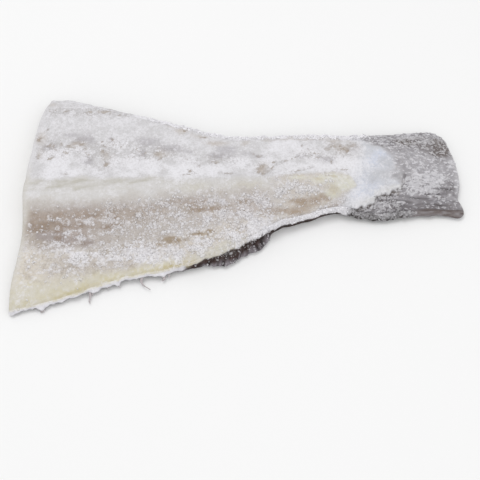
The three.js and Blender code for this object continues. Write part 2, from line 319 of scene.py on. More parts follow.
# Marks on the flesh side as soft ellipses, (x, y, half length, half width), in millimetres. Before
# them: the noise that breaks them up, how much it does, and how soft their borders are.
MARKS = {
    "white": ("billow", 0.9, 0.8, [
        (-152, 32, 24, 11), (-145, 44, 12, 4), (-100, 32, 20, 11), (-106, 47, 9, 4), (-125, 21, 60, 5),
        (-180, 25, 5, 9), (-60, 26, 24, 7), (-46, 33, 9, 6), (-14, 25, 24, 6), (2, 32, 10, 5),
        (36, 46, 17, 9), (45, 55, 13, 3), (32, 33, 14, 6), (52, 28, 18, 5), (90, 29, 12, 5),
        (62, 37, 3, 6), (86, 37, 5, 4),
    ]),
    "grey": ("billow", 0.6, 0.6, [
        (-137, 55.5, 11, 5), (-150, 60, 8, 2.5), (-131, 53, 4, 4), (-133, 33, 7, 5), (-114, 56, 2, 3),
        (-82, 53, 11, 5), (-86, 40, 4, 5), (-61, 46, 12, 3.5), (-45, 43, 8, 2.5), (-22, 38, 12, 4),
        (5, 42, 9, 4), (13, 38, 5, 3), (50, 37, 5, 2.5), (73, 34, 8, 4), (66, 35, 4, 3), (97, 44, 6, 7),
        (-169, 48, 6, 3), (-12, 46, 10, 4),
    ]),
    "tan": ("billow", 0.6, 0.6, [
        (-176, 56, 5, 9), (-175, 40, 4, 6), (-52, 67, 6, 4), (-60, 72, 6, 2), (-36, 61, 9, 3),
        (-22, 53, 10, 3), (86, 47, 16, 7), (84, 57, 10, 3.6), (50, 58, 30, 2.6), (22, 58, 4, 4),
        (4, 54, 5, 4), (-168, 96, 6, 3), (-120, 88, 5, 1.2), (17, 25, 6, 6), (-118, 36, 6, 8),
        (-70, 40, 7, 4), (-143, 50, 9, 3),
    ]),
    "gaps": ("billow", 0.9, 0.3, [
        (-140, 48, 34, 9), (-120, 36, 12, 10), (-85, 42, 28, 7), (-25, 34, 22, 5), (18, 25, 8, 7),
        (85, 46, 16, 8), (60, 38, 14, 5), (-130, 87, 40, 5), (-150, -64, 30, 8), (-77, -47, 5, 1.6),
        (-40, -12, 30, 4), (-94, -43, 18, 4), (-112, -50, 10, 5), (-56, -46, 24, 4), (-20, -38, 16, 4),
        (90, 48, 12, 6),
    ]),
    "bed_brown": ("billow", 0.7, 0.6, [
        (-168, -26, 14, 3.8), (-152, -28, 12, 3), (-134, -27, 10, 2.4), (-118, -28, 10, 2),
        (-125, -19, 7, 1.6), (-106, -20, 6, 1.6), (-130, -42, 7, 1.8), (-152, -38, 4, 2.4),
        (-166, -30, 10, 2), (-104, -26, 5, 1.6),
    ]),
    "mauve": ("billow", 0.9, 0.3, [(-150, -36, 18, 5), (-128, -42, 12, 5), (-118, -48, 9, 3)]),
    "bed_tan": ("billow", 0.7, 0.45, [
        (-50, -5, 18, 3), (-30, -12.5, 12, 2), (-20, 2, 14, 2.5), (15, 3, 18, 2), (-38, -6, 8, 2.5),
        (2, -5, 9, 1.6), (24, -14, 8, 3), (-168, -18, 16, 4), (-140, -17, 14, 3),
    ]),
    "ochre": ("rough", 0.9, 0.6, [
        (-60, -40.5, 9, 2.4), (-56, -39, 6, 1.8), (-71, -45, 4, 1.4), (-36, -36, 6, 1.4),
        (-78, -46.5, 4, 1.6), (-27, -33.5, 5, 2),
    ]),
    "olive": ("billow", 0.9, 0.3, [(6, 7, 16, 4), (-12, 0, 10, 4), (-40, 5, 14, 4)]),
    "frost": ("rough", 0.7, 0.25, [
        (-161, -22, 5, 1.6), (-131, -23, 3.4, 2), (-112, -22, 4, 2), (-178, -26, 2, 1.6),
        (-133, -38, 5, 3), (-146, -33, 3, 2), (-104, -29, 2, 2), (-88, -18, 3, 2), (-86, -27, 2.4, 2),
        (-152, -43, 5, 2), (-52, -2, 7, 1.6), (-17, -7, 3, 2.4), (-14, -17, 7, 3), (12, -3, 5, 2.4),
        (-30, -22, 6, 3), (-4, -3, 4, 1.6), (-60, -17, 5, 2), (5, -18, 8, 4), (32, 3, 6, 2.4),
        (42, 8, 7, 3), (55, 5, 8, 2.4), (-75, -28, 5, 3), (-28, -5, 4, 2), (20, -8, 5, 3),
        (-110, -33, 3, 2), (-68, -8, 4, 2),
    ]),
    "near_white": ("billow", 0.9, 0.4, [
        (-143, -49, 11, 5), (-138, -59, 9, 5), (-86, -47, 18, 5), (-110, -54, 13, 5),
        (-96, -42, 10, 2.4), (-56, -49, 24, 5), (-30, -43, 16, 5), (-5, -36, 14, 5), (14, -27, 10, 5),
        (-75, -55, 30, 4),
    ]),
    "fat": ("billow", 0.9, 0.3, [
        (-184, -73, 5, 3), (-172, -73, 5, 2), (-174, -80, 4, 1.5), (-163, -72, 6, 2), (-115, -71, 8, 3),
        (-150, -85, 8, 2), (-60, -61, 12, 2.5), (-92, -64, 12, 2.5),
    ]),
    "flesh_tan": ("billow", 0.6, 0.4, [
        (42, -15, 8, 3.6), (49, -11, 9, 4), (56, -8, 8, 4), (62, -4, 7, 3.4), (23, -14.5, 7, 3.6),
        (34, -12, 7, 2.4), (50, -4, 8, 2), (70, 0, 5, 2.4),
    ]),
    "flesh_yellow": ("billow", 0.6, 0.7, [
        (82, 17, 11, 4), (91, 12, 6, 5), (84, 9, 8, 3.4), (70, 16, 9, 2.4), (76, 3, 6, 3),
        (64, 12, 8, 3), (50, 15, 8, 2.4),
    ]),
    "flesh_ochre": ("billow", 0.9, 0.7, [
        (64, 13.5, 4, 2), (77, 6, 4, 3), (51, 16.5, 3, 1.4), (76, 17, 5, 1.2),
    ]),
    "snow_blue": ("billow", 0.7, 0.9, [
        (119, 36, 12, 8), (112, 12, 12, 8), (102, 2, 10, 5), (70, -11, 14, 3),
    ]),
    "snow_grey": ("billow", 0.8, 0.9, [
        (121, 20, 9, 6), (112, 15, 7, 5), (124, 33, 6, 5), (112, 51, 8, 3), (126, 12, 5, 3),
    ]),
    "tail_brown": ("billow", 0.9, 0.7, [
        (168, 61, 13, 3), (175, 55, 7, 7), (162, 54, 10, 5), (170, 49, 9, 3.4), (150, 57, 9, 5),
        (134, 56, 9, 3),
    ]),
    "tail_dark": ("rough", 0.9, 0.5, [
        (131, 21, 4, 2.4), (139.5, 20.5, 1.4, 2), (136, 11.5, 3, 1.5), (173, 9, 9, 2.6),
        (181, 13, 3, 7), (168, 5, 9, 1.6), (159, 8.5, 5, 1.2), (151, 14, 4, 1.2), (163, 17, 4, 1.2),
        (146, 9, 3, 1.2), (178, 18, 5, 2), (140, 15, 3, 1), (160, -5, 22, 1.6), (128, -7, 10, 1.4),
    ]),
    "tail_light": ("billow", 0.9, 0.6, [
        (143, 14, 8, 5), (152, 11, 10, 4), (162, 14, 8, 3), (148, 20, 9, 3), (156, 7, 9, 2),
        (122, 1, 7, 2), (106, -3, 5, 2), (168, 22, 9, 4),
    ]),
}
# Small brown spots, ellipses too, and lines as lists of (x, y).
BROWN_SPOTS = [
    (-177, 56, 2, 3), (-168, 50, 3.6, 2.4), (-157, 51, 1.4, 1.6), (-150, 47.5, 3.4, 2.6),
    (-144, 53, 4, 1.5), (-135, 46, 2, 2.6), (-139, 50, 3, 1.6), (-166, 36, 2.4, 1.8), (-163, 39, 2, 2),
    (-176, 38, 1.4, 1.8), (-117, 40, 2.4, 3.4), (-116.5, 30, 4.4, 2.4), (-121, 43, 1.6, 2),
    (-120, 48, 3, 1.2), (-122, 52, 2.5, 1), (-73, 41, 2.6, 1.8), (-71, 36, 1.6, 2.4),
    (-50, 67.5, 3, 2.4), (-34, 60, 3, 2), (-44, 22, 2.2, 1.8), (-42, 19, 2, 1.2), (-38, 27, 1.6, 2),
    (-22, 32.5, 3, 1.5), (-156, 87, 2.4, 1.4), (-138, 86, 1.4, 2.8), (-136, 83, 2, 1.2),
    (-117, 85, 1.8, 1.4), (-109, 84, 1.6, 2), (-136.5, 91, 1.2, 1), (-171, 67, 1.2, 1.2),
    (-152, 21, 4, 1.2), (18.5, 20, 2.2, 3), (22, 22, 2, 1.8), (25, 25.5, 2, 1.8),
    (27.5, 31.2, 1.7, 1.6), (17, 27, 3.4, 4.4), (14.5, 23, 1.6, 2), (74, 45, 3.4, 2.4),
    (77, 49, 1.6, 2), (84, 50, 1.6, 1.6), (87, 46.5, 3.4, 2), (91, 43.5, 2, 3.4), (94, 50, 4, 2.2),
    (97, 51, 1.6, 2), (58, 46, 2, 1.6), (60, 38, 1.2, 2), (52, 51, 1.2, 2), (76, 32, 1.4, 1.4),
    (10, 41, 2, 1.4), (14, 38, 2.6, 1.6), (-86, 39, 1.6, 2), (-113, 56, 1.4, 2),
]
BROWN_LINES = [
    [(-14, -10), (-9, -8.5), (-4, -6.5), (0, -5.2), (6, -4)], [(-28, 31), (-22, 31.5), (-17, 33.5)],
    [(-46, 23), (-43, 20.5), (-39, 18)], [(-20, 19.6), (-14, 19), (-8, 19.2)], [(80, 24.8), (91, 24.2)],
    [(-52, 18), (-45, 17.6)], [(-34, -12.6), (-22, -11)],
]
GREY_LINES = [
    [(21, 21), (24, 24), (27, 28), (33, 31), (45, 36), (50, 39)],
    [(38, 23), (44, 21), (52, 24), (60, 26)],
]
RIDGE_CREASES = [
    [(-176, 16), (-160, 14), (-148, 12.5)], [(-166, 6), (-152, 8), (-140, 11), (-132, 14)],
    [(-142, 2), (-130, 6), (-118, 10), (-104, 15)], [(-118, 8), (-108, 11), (-98, 14), (-90, 17)],
    [(-96, 9), (-86, 13), (-76, 14.5)], [(-182, 10), (-172, 12)],
]
TAIL_CREASES = [
    [(126, 3.4), (140, 3.6), (150, 2.6), (161, 3.0)], [(116, -1.2), (130, -0.8), (146, -1.4)],
    [(158, 1.0), (170, 1.2), (184, 2.0)], [(148, -2.6), (162, -1.8), (176, -2.4)],
    [(154, 6.5), (164, 7.6), (176, 7)], [(162, 12.5), (172, 13.4), (181, 12.8)],
    [(136, -4.4), (150, -4.6)],
]


def patch(x, y, places):
    """Soft ellipses that merge where they meet."""
    rest = 1
    for px, py, rx, ry in places:
        rest *= 1 - hump((x - px) / rx, 1) * hump((y - py) / ry, 1)
    return 1 - rest


def break_up(core, texture, ragged, soft):
    """A patch with ragged borders: the texture moves them, and soft blurs them."""
    return step(core + ragged * texture * np.minimum(3 * core, 1), 0.5 - soft, 0.5 + soft)


def strokes(fish, lines, width):
    """Thin wavering lines that run along the fish."""
    y = fish.y + 0.2 * fish.drift
    total = 0
    for line in lines:
        xs, ys = zip(*line)
        reach = band(fish.x, xs[0], xs[-1], 2.5)
        total = np.maximum(total, hump(y - np.interp(fish.x, xs, ys), width) * reach)
    return total


def add_marks(fish):
    """Adds the marks, from 0 to 1, as fish.soft where they fade out and fish.marks where they
    break up."""
    fish.soft, fish.marks = SimpleNamespace(), SimpleNamespace()
    for name, (texture, ragged, soft, places) in MARKS.items():
        along, across = (0.15, 0.1) if texture == "rough" else (0.2, 0.12)
        core = patch(fish.x + along * fish.drift, fish.y + across * fish.drift, places)
        setattr(fish.soft, name, core)
        setattr(fish.marks, name, break_up(core, getattr(fish, texture), ragged, soft))
    jitter_x, jitter_y = noise(fish.flat, 3.2, 55), noise(fish.flat, 2.8, 56)
    fish.spots = step(patch(fish.x + 2.2 * jitter_x, fish.y + 1.6 * jitter_y, BROWN_SPOTS), 0.25, 0.8)
    fish.creases = strokes(fish, RIDGE_CREASES, 2.4)


def add_noises(fish):
    """Adds the noises that several looks share, and each point's place against two borders."""
    fish.flat = flat = flat_points(fish.x, fish.y)
    fish.drift = 5 * noise(flat, 15, 3) + 2.5 * noise(flat, 6, 4) + 1.2 * noise(flat, 2.5, 5)
    fish.rough = fractal(flat, 4, 3, 52)
    fish.billow = fractal(flat, 11, 4, 53)
    fish.mottle = unit(0.5 + 0.6 * fractal(flat, 6, 3, 51)) - 0.5
    fish.cloudy = unit(0.5 + 0.5 * fractal(flat, 14, 3, 7)) - 0.5
    fish.grit = unit(0.5 + 0.7 * fractal(flat, 2.4, 3, 8)) - 0.5
    fish.clusters = fractal(flat, 5, 3, 9)
    fish.from_belly = fish.y - belly(fish.x)
    fish.crust = crust_line(fish.x, fish.y)


def add_zones(fish):
    """Adds how much of each kind of surface every point has, from 0 to 1."""
    x, y, flat, drift = fish.x, fish.y, fish.flat, fish.drift
    above_band = step(y - band_high(x) + 0.5 * drift, -3, 3)
    above_bed = step(y - band_low(x) + 0.5 * drift, -8, 8)
    above_near = step(y - bed_low(x) + 0.6 * drift, -6, 6)
    in_flesh = np.minimum(flesh_high(x) - y, y - flesh_low(x)) + 0.3 * drift
    flesh = step(in_flesh, -1.5, 2.5) * step(x, 14, 40) * fall(x, 96, 100)
    tail_soft = lerp(0.6, 8, step(y, 8, 20))
    wander = (0.9 * drift + 5 * noise(flat, 9, 57)) * step(y, 10, 24)
    tail_edge = np.where(y < 10, fish.crust, x - grey_from(y) + wander)
    fish.tail = step(tail_edge, -tail_soft, tail_soft) * step(x, 80, 88)
    lip_width = lerp(2, 7, step(x, 64, 92))
    lip = band(x, 4, 118, 10) * fall(fish.from_belly + 0.15 * drift, 0.3 * lip_width, lip_width)
    fish.lip = lip * (1 - fish.tail)
    beyond_flesh = step(x - snow_from(y) + 0.6 * drift, -7, 7) * (1 - flesh)
    fish.snow = np.maximum(beyond_flesh, lip) * (1 - fish.tail)
    bare = (1 - fish.tail) * (1 - fish.snow)
    fish.far = above_band * bare * (1 - flesh)
    fish.ridge = (1 - above_band) * above_bed * bare * (1 - flesh)
    fish.bed = (1 - above_bed) * above_near * bare * (1 - flesh)
    fish.near = (1 - above_near) * bare * (1 - flesh)
    fish.flesh = flesh * bare
    fish.fat = fall(fish.from_belly + 0.5 * drift, 0.4 * fat_reach(x), fat_reach(x) + 4)
    fish.fat = fish.fat * (1 - 0.4 * step(x, -70, -30)) * fall(x, -10, 40)
    fish.clean_cut = fall(x - cut_line(fish.share) + 0.4 * drift, 0.5, lerp(8, 4, step(y, 10, 30)))
    rim = step(fish.share, 0.985, 1) * step(x, -110, -90) * (1 - fish.tail)
    fish.far_rim = rim * step(noise(flat, 3, 98), -0.2, 0.3)


def add_walls(fish):
    """Adds the places on the edges and below them, from 0 to 1."""
    x, down, flat = fish.x, fish.down, fish.flat
    fish.under = step(down, 0.45, 0.7)
    fish.near_side = fish.bulge < 0
    fish.far_side = fish.bulge > 0
    # The white lip over the wall, the tail's side, the raw dark flesh under the lip with painted shade
    # over it, the lobe of grey skin at the bottom of the wall, and the rounded edge along the back.
    fish.white_lip = fish.near_side * step(x, -4, 18) * fall(x, 86, 94)
    fish.tail_side = fish.near_side * step(x, 86, 94)
    rim = lerp(0.16, 0.42, step(x, 14, 34)) + 0.12 * noise(flat, 4, 77)
    fish.dark_wall = fish.near_side * band(x, -46, 90, 6) * step(down, rim, rim + 0.14)
    lobe_top = down + 0.12 * noise(flat, 2.2, 78)
    fish.lobe = fish.near_side * band(x, -34, 23, 3) * step(lobe_top, 0.58, 0.76)
    back_border = down + 0.1 * noise(fish.points, 3, 97)
    fish.back_edge = fish.far_side * (1 - fish.tail) * step(back_border, 0.04, 0.22)
    # The brown line that runs along the tail's low edge to its corner: bare brown skin, darkened with
    # painted shade of the curled edge's underside.
    from_edge = fish.from_belly - belly_round(x) + 0.1 * fish.drift
    fish.tail_line = fall(from_edge, 0.2, 1.2) * step(x, 142, 158)


def gap_share(fish):
    """How thickly small brown gaps in the salt lie, from 0 to 1."""
    x, near = fish.x, fish.near
    spread = 0.12 * fish.far + 0.3 * fish.bed + 0.2 * fish.flesh
    spread += lerp(0.12, 0.3, step(x, -150, -100)) * near * (1 - fish.fat)
    spread = spread + 0.2 * fish.tail + 0.1 * fish.snow + 0.12 * fish.ridge * step(x, -100, -50)
    spread += 0.2 * near * step(fish.rough, 0, 0.4) * (1 - fish.fat)
    spread -= 0.14 * near * fish.marks.near_white
    spread -= 0.12 * fish.flesh * fish.soft.flesh_yellow
    crisp = np.maximum(0.6 * fish.spots, 0.75 * strokes(fish, BROWN_LINES, 1.1))
    crisp = np.maximum(crisp, 0.5 * strokes(fish, GREY_LINES, 1.2))
    places = np.maximum(crisp, 0.5 * fish.soft.gaps * (0.7 + 0.8 * fish.billow))
    bare = (1 - fish.clean_cut) * (1 - fish.snow) * (1 - fish.tail)
    return unit(places * bare + spread * (1 - fish.clean_cut)) * (fish.down < 0.5)


def salt_cover(fish):
    """How thickly salt lies on each point, from 0 to 1."""
    x, cloudy, grit, billow = fish.x, fish.cloudy, fish.grit, fish.billow
    marks, soft = fish.marks, fish.soft
    scattered = step(fish.clusters + 0.6 * cloudy, 0.3, 0.9)
    tailward = step(x, -120, -20)

    far = 0.52 + 0.1 * cloudy + 0.16 * grit + 0.1 * billow + 0.24 * marks.white
    far = far - 0.16 * marks.grey - lerp(0.12, 0.2, step(x, 40, 70)) * marks.tan
    far = far - 0.06 * fish.spots + 0.08 * step(x, 40, 70)
    ridge = 0.42 + 0.14 * cloudy + 0.12 * grit + 0.1 * billow - 0.14 * fish.creases
    bed = 0.36 + 0.07 * tailward + 0.1 * cloudy + 0.3 * grit + 0.26 * marks.frost
    bed = bed + lerp(0.06, 0.1, tailward) * scattered - 0.06 * soft.bed_brown - 0.06 * soft.bed_tan
    near = 0.48 + 0.12 * cloudy + 0.4 * grit + 0.14 * billow + 0.1 * scattered
    near += (0.33 + 0.6 * fish.rough) * marks.near_white
    near = near - 0.1 * fish.fat - 0.05 * fall(x, -100, -60)
    flesh = 0.4 + 0.14 * cloudy + 0.24 * grit + 0.25 * marks.frost - 0.16 * soft.flesh_tan
    snow = 0.48 + 0.16 * cloudy + 0.2 * grit + 0.45 * fish.lip + 0.2 * fall(x, 92, 112)
    snow -= 0.08 * marks.snow_grey
    salt = far * fish.far + ridge * fish.ridge + bed * fish.bed
    salt = salt + near * fish.near + flesh * fish.flesh + snow * fish.snow

    salt -= 0.3 * marks.ochre * (1 - fish.tail)
    salt = lerp(salt, 0.3 + 0.1 * grit, 0.8 * fish.clean_cut)
    salt = np.maximum(salt, fish.far_rim * 0.95)
    return unit(lerp(salt, tail_salt(fish), fish.tail))


def tail_salt(fish):
    """Salt on the tail's skin lies in flakes that run along the fish."""
    x, y, marks = fish.x, fish.y, fish.marks
    flakes = step(fractal(flat_points(x / 2.2, y - 0.1 * x), 2.6, 3, 10), -0.25, 0.35)
    cover = 0.22 - 0.1 * fall(y, 0, 8) + 0.24 * fish.grit + 0.2 * flakes
    cover = cover + 0.08 * band(y, 20, 48, 6) + 0.17 * marks.tail_light
    cover = cover - 0.16 * fish.soft.tail_brown - 0.3 * strokes(fish, TAIL_CREASES, 0.9)
    return cover - 0.1 * marks.tail_dark - 0.4 * fish.tail_line


def wall_salt(fish, salt):
    """The salt's cover with that of the edges, the wall and the skin side added."""
    x, down = fish.x, fish.down
    patchy = unit(0.5 + 0.6 * fractal(fish.points, 5, 3, 65))
    belly_rim = fish.near_side * fall(x, -50, -30) * (1 - fish.under)
    crumbs_low = lerp(0.6, 0.25, step(x, 138, 152)) * patchy * fall(down, 0.08, 0.24)
    salt = lerp(salt, 0.15 + 0.35 * patchy, fish.under)
    salt = lerp(salt, 0.4 + 0.35 * patchy, belly_rim)
    salt = lerp(salt, 0.7 + 0.3 * patchy, fish.white_lip)
    salt = lerp(salt, crumbs_low, fish.tail_side)
    salt *= 1 - 0.9 * fish.dark_wall
    salt = lerp(salt, 0.05 + 0.15 * patchy, fish.lobe)
    return lerp(salt, 0.45 + 0.2 * patchy, fish.back_edge * (1 - fish.under))


def relief(fish, salt):
    """How far the surface stands proud of the smooth form, in millimetres."""
    points, x, y, tail = fish.points, fish.x, fish.y, fish.tail
    crumbly = fractal(points, 2.6, 2, 12)
    lumpy = fractal(points, 8, 2, 15)
    frost = break_up(fish.soft.frost, fish.rough, 0.9, 0.25)
    high = salt * (0.4 * crumbly + 0.3 * lumpy) + 0.45 * salt
    high += 0.5 * frost * (fish.bed + fish.flesh) * (0.6 + 0.6 * crumbly)
    high = high - 0.4 * fish.spots - 0.45 * fish.creases * fish.ridge
    high = high + 0.15 * noise(points, 4, 27) + 0.3 * fish.bed * lumpy
    high += 0.9 * fish.near * (1 - fish.fat) * fractal(points, 4, 2, 16)
    along = points / [2.2, 1, 1]
    low_tail = 1 - 0.5 * band(y, 24, 46, 6)
    high += tail * low_tail * (0.42 * noise(along, 2.0, 31) + 0.6 * noise(along, 4.5, 33))
    high -= 0.9 * tail * strokes(fish, TAIL_CREASES, 1.0)
    crust_rim = band(fish.crust, -7, -0.5, 0.5) * band(x, 84, 137, 3) * fall(y, 14, 22)
    high += crust_rim * (0.7 + 0.9 * noise(points, 3, 35) + 0.5 * noise(points, 1.6, 36))
    return lerp(high, 0.22 * crumbly + 0.25 * lumpy, fish.under)


# Torn bits of skin along the belly edge: (x, half width, how far it sticks out), in millimetres.
TEARS = [
    (-186, 2.2, 1.6), (-164, 2.4, 3.6), (-136, 3.5, -1.4), (-121, 3.4, 2.4), (-103, 1.8, 2.6),
    (-97, 3.5, -1.8), (-112, 3.0, 1.2), (-88, 3, -1.2), (-65, 2.2, 2.6), (-76, 1.6, 1.2),
    (-50, 2.5, 1.2), (-148, 2.5, 1.0), (184, 6, 3.0),
]


def stand_out(fish, salt):
    """The relief with the torn and crusted edges added, in millimetres."""
    points, x, down, side = fish.points, fish.x, fish.down, np.abs(fish.bulge)
    near_side = fish.near_side
    high = relief(fish, salt)
    ragged = near_side * fall(x, -30, 0) * side
    high += ragged * (0.9 * noise(points, 6, 71) + 0.8 * noise(points, 2.4, 72))
    low_wall = near_side * step(down, 0.25, 0.6) * (1 - fish.under * 0.3)
    for at, width, reach in TEARS:
        high += low_wall * reach * hump(x - at, width)
    upright = noise(points * [1, 0.3, 0.3], 1.8, 79)
    high += fish.lobe * (1.2 * noise(points, 4.5, 73) + 1.1 * upright + 5 * hump(x - 14, 10))
    crusty = fish.far_side * band(x, -95, 115, 15) * side
    high += crusty * (0.3 + 1.6 * np.maximum(noise(points, 2.6, 75), -0.2))
    fuzzy = near_side * band(x, 10, 96, 8) * fall(down, 0.15, 0.4)
    high += fuzzy * (0.5 + 0.9 * noise(points, 2.4, 76))
    crusted = near_side * band(x, 90, 142, 6) * side
    high += crusted * (0.9 * noise(points, 3, 91) + 0.8 * noise(points, 1.5, 92))
    high[: len(END_RELIEF)] *= END_RELIEF
    high[-len(END_RELIEF):] *= END_RELIEF[::-1]
    return high


# ---------------- colours

def tint(red, green, blue):
    """A colour as it shows, in 8-bit values, turned into the light that it sends back."""
    value = np.array([red, green, blue]) / 255
    return np.where(value <= 0.04045, value / 12.92, ((value + 0.055) / 1.055) ** 2.4)


FLESH_FAR = tint(204, 203, 205)
FLESH_RIDGE = tint(205, 203, 201)
GREY_STAIN = tint(176, 173, 178)
TAN = tint(188, 177, 166)
SPOT_BROWN = tint(164, 148, 131)
OLIVE = tint(199, 195, 182)
# Olive-grey painted shade for the ridge's creases and streaks.
CREASE_SHADE = tint(189, 186, 177)
RIDGE_FOOT = tint(192, 185, 174)
BED_BROWN = tint(142, 121, 103)
MAUVE = tint(156, 146, 146)
BED_TAN = tint(168, 152, 139)
OCHRE = tint(160, 142, 119)
FAT = tint(207, 202, 186)
FAT_TAILWARD = tint(208, 207, 194)
LEMON = tint(203, 195, 163)
DEEP_FAT = tint(184, 170, 116)
FLESH_PALE = tint(203, 196, 189)
FLESH_TAN = tint(160, 140, 121)
FLESH_YELLOW = tint(213, 212, 198)
FLESH_OCHRE = tint(192, 180, 154)
SNOW = tint(198, 200, 206)
SNOW_BLUE = tint(202, 209, 226)
SNOW_GREY = tint(184, 184, 186)
SNOW_CREAM = tint(213, 210, 204)
CUT_IVORY = tint(206, 203, 196)
SKIN_PALE = tint(164, 162, 167)
RIM_GREY = tint(190, 189, 193)
SKIN_DARK = tint(101, 97, 101)
SKIN_BROWN = tint(98, 90, 87)
# Painted shadow colour for the foot of the crust's edge on the tail.
CRUST_SHADOW = tint(78, 66, 56)
SALT_WHITE = tint(229, 228, 232)
# White salt brightened with painted light, for the back edge that turns away from the lamps.
BACK_LIT_WHITE = tint(243, 242, 246)
RIM_WHITE = tint(236, 235, 240)
RIM_SHADE = tint(190, 187, 194)
# Near-black painted shade under the belly lip, laid over the raw flesh's red.
WALL_SHADE_BROWN = tint(20, 12, 12)
WALL_RED = tint(62, 40, 36)
LOBE_GREY = tint(140, 134, 140)
TAIL_SIDE = tint(112, 107, 110)
# Near-black painted shade for the tail's creases, its low edge and the foot of its side.
TAIL_SHADE = tint(44, 38, 39)
TAIL_BROWN_LINE_SHADE = tint(96, 85, 82)
GRAIN_SHADE = tint(100, 88, 82)
SPECK_GREY = tint(146, 138, 134)
CRACK_GREY = tint(130, 120, 114)
GAP_BROWN = tint(144, 128, 109)
SALT_CLOUD = tint(176, 170, 166)
SHRED_DARK = tint(150, 138, 138)
SHRED_PALE = tint(206, 200, 202)

# The bed's and the near side's tones along the fish.
BED_TONES = [
    (-185, tint(192, 184, 175)), (-165, tint(181, 172, 163)), (-140, tint(174, 163, 157)),
    (-105, tint(188, 181, 175)), (-60, tint(195, 189, 184)), (10, tint(194, 185, 179)),
]
NEAR_TONES = [
    (-185, tint(220, 212, 199)), (-150, tint(204, 197, 188)), (-100, tint(204, 197, 190)),
    (-30, tint(214, 207, 198)), (20, tint(204, 196, 188)),
]


def blend(a, b, share):
    return lerp(a, b, share[..., None])


def tones(x, steps):
    """A colour for each x, blended between the steps' colours."""
    places, colours = zip(*steps)
    return np.stack([np.interp(x, places, part) for part in np.transpose(colours)], -1)


def layered(colour, *layers):
    """A colour with others laid over it in turn, given as (colour, share)."""
    for upper, share in layers:
        colour = blend(colour, upper, unit(share))
    return colour


def flesh_colour(fish):
    """The colour of the flesh and skin themselves, under the salt."""
    x, y, drift, mottle, marks = fish.x, fish.y, fish.drift, fish.mottle, fish.marks
    ridge_foot = fall(y - band_low(x) + drift, 0, 10)
    bed_top = hump(y - band_low(x) + 8 + 0.4 * drift, 8) * fall(x, -90, -30)
    cream = band(fish.crust, -5, 0, 3) * band(x, 94, 144, 8) * fall(y, 18, 26)
    ridge = layered(
        FLESH_RIDGE,
        # Creases and streaks on the ridge, darkened with olive-grey painted shade.
        (CREASE_SHADE, 0.5 * fish.creases + 0.8 * ridge_streaks(fish)),
        (OLIVE, 0.8 * fish.soft.olive),
        (RIDGE_FOOT, 0.8 * ridge_foot),
    )
    bed = layered(
        tones(x + drift, BED_TONES),
        (MAUVE, 0.7 * marks.mauve),
        (BED_TAN, 0.6 * bed_top),
        (BED_BROWN, marks.bed_brown * (0.625 + 0.55 * mottle)),
        (BED_TAN, 0.9 * marks.bed_tan),
    )
    near = layered(
        tones(x + drift, NEAR_TONES),
        (TAN, 0.5 * step(fish.rough, 0.05, 0.5) * fall(x, -90, -20)),
        (fat_colour(fish), fish.fat),
    )
    end = layered(
        FLESH_PALE,
        (FLESH_TAN, 0.9 * marks.flesh_tan),
        (FLESH_YELLOW, 0.9 * marks.flesh_yellow),
        (FLESH_OCHRE, 0.6 * marks.flesh_ochre),
    )
    snow = layered(
        SNOW,
        (SNOW_BLUE, 0.9 * marks.snow_blue),
        (SNOW_GREY, 0.7 * marks.snow_grey),
        (SNOW_CREAM, 0.55 * cream),
    )
    margin = blend(CUT_IVORY, FLESH_FAR * 1.15, step(y, 14, 34))
    # Painted shadow along the foot of the crust's ragged edge on the tail, where the crust stands proud.
    crust_shadow = hump(fish.crust - 0.9, 0.9) * band(x, 86, 139, 2) * fall(y, 14, 20)
    return layered(
        FLESH_FAR,
        (GREY_STAIN, 0.75 * marks.grey),
        (TAN, 0.65 * marks.tan * (0.8 + 0.8 * mottle)),
        (SPOT_BROWN, 0.3 * fish.spots),
        (ridge, fish.ridge),
        (bed, fish.bed),
        (near, fish.near),
        (OCHRE, 0.9 * marks.ochre),
        (end, fish.flesh),
        (snow, fish.snow),
        (margin, 0.8 * fish.clean_cut * (1 - fish.fat)),
        (skin_colour(fish), fish.tail),
        (CRUST_SHADOW, 0.95 * crust_shadow),
    )


def ridge_streaks(fish):
    """Soft streaks that climb towards the tail along the ridge."""
    x, y = fish.x, fish.y
    streaks = fractal(flat_points(x / 5 + y, y - 0.24 * x), 3, 3, 58)
    return unit(0.15 + 1.1 * streaks) * fall(x, -80, -20) * step(y - band_low(x), 4, 12)


def fat_colour(fish):
    """The fat along the belly edge, deepest in a thin line just inside it."""
    x, inward, drift = fish.x, fish.from_belly, fish.drift
    tailward = step(x, -50, -30)
    line = hump(inward - lerp(2.6, 1.2, tailward) + 0.15 * drift, lerp(1.8, 1.1, tailward))
    line *= band(x, -158, 0, 8)
    wide = hump(inward - 4 + 0.3 * drift, 4.5) * unit(0.5 + fish.billow)
    mottled = 0.5 * fish.soft.fat + 0.35 * fish.rough
    return layered(
        blend(FAT, FAT_TAILWARD, tailward),
        (LEMON, mottled + (0.4 * wide + 0.5 * line) * (1 - 0.7 * tailward)),
        (DEEP_FAT, line * (0.3 * fall(x, -130, -110) + step(x, -80, -60))),
    )


